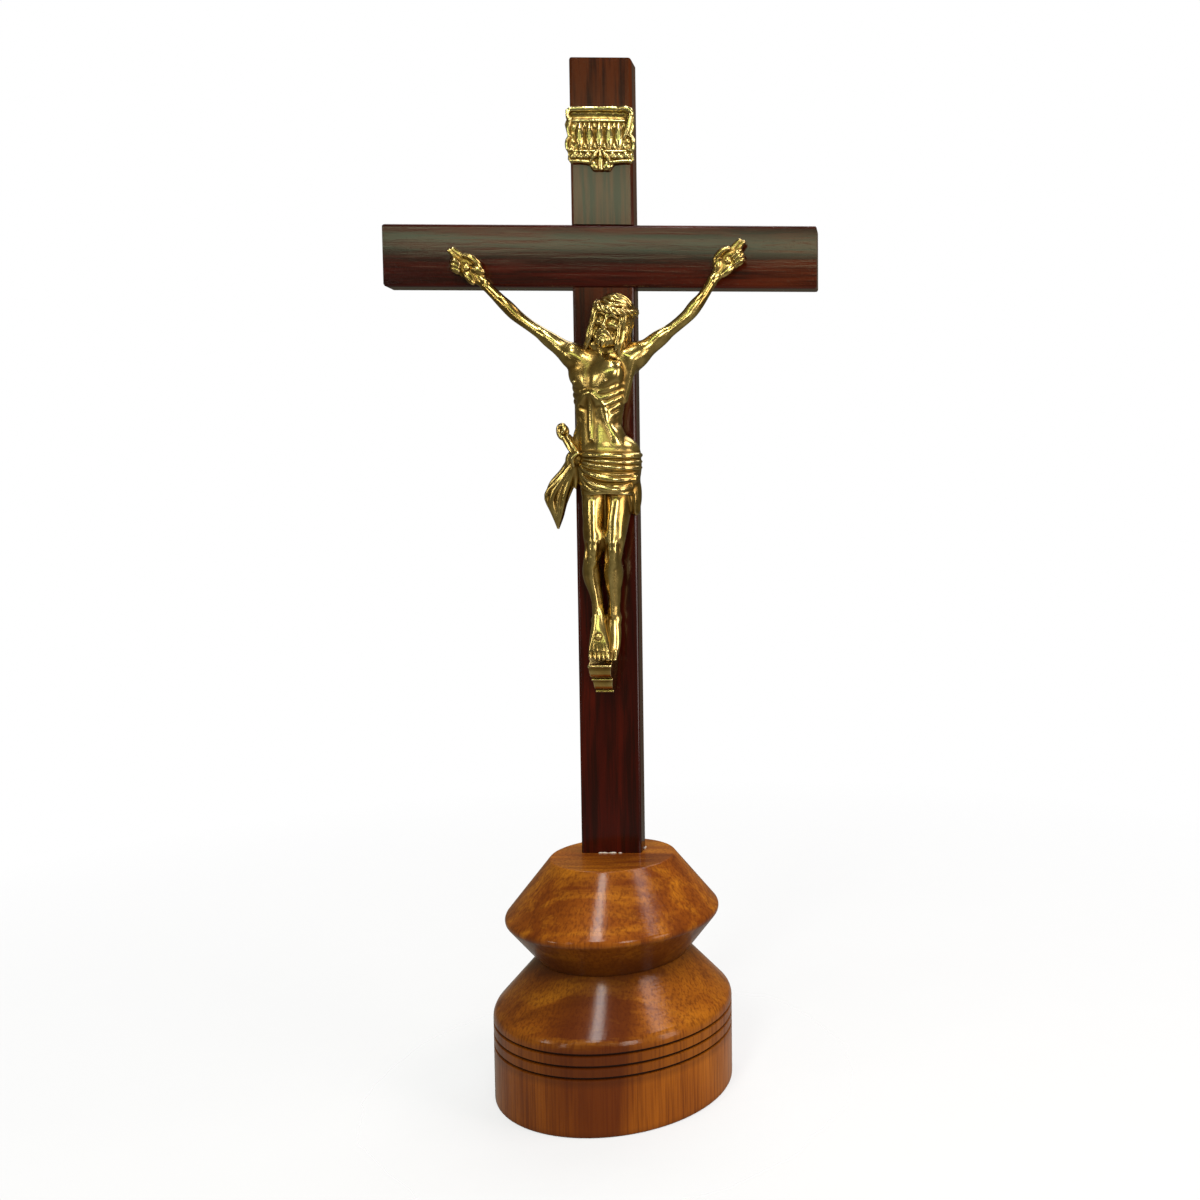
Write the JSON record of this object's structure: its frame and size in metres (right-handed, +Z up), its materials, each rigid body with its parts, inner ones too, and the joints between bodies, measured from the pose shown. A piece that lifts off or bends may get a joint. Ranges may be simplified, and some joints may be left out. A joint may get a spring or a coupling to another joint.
{
  "type": "altar cross",
  "caption": "Standing altar cross: dark lacquered half-lapped wooden cross on a turned double-cone wooden base, with a cast brass figure, foot rest and title plaque.",
  "frame": {"origin": "turning axis of the base at its flat resting face", "axes": "+X along the crossbar to the viewer's right, +Y towards the back of the cross, +Z up"},
  "size_m": [0.175, 0.097, 0.4205],
  "materials": {
    "base_wood": "gloss varnish",
    "cross_wood": "dark gloss lacquer",
    "brass": "polished cast brass with dark recesses",
    "steel": "zinc plated"
  },
  "bodies": {
    "root": {"base_plinth": "base_wood", "base_collar": "base_wood", "upright": "cross_wood", "crossbar": "cross_wood", "corpus_body": "brass", "corpus_arm_left": "brass", "corpus_arm_right": "brass", "foot_rest": "brass", "title_plaque": "brass", "hand_nail_left": "brass", "hand_nail_right": "brass", "foot_nail": "brass", "plaque_pins": "brass", "base_screw": "steel", "screw_washer": "steel"}
  },
  "joints": []
}
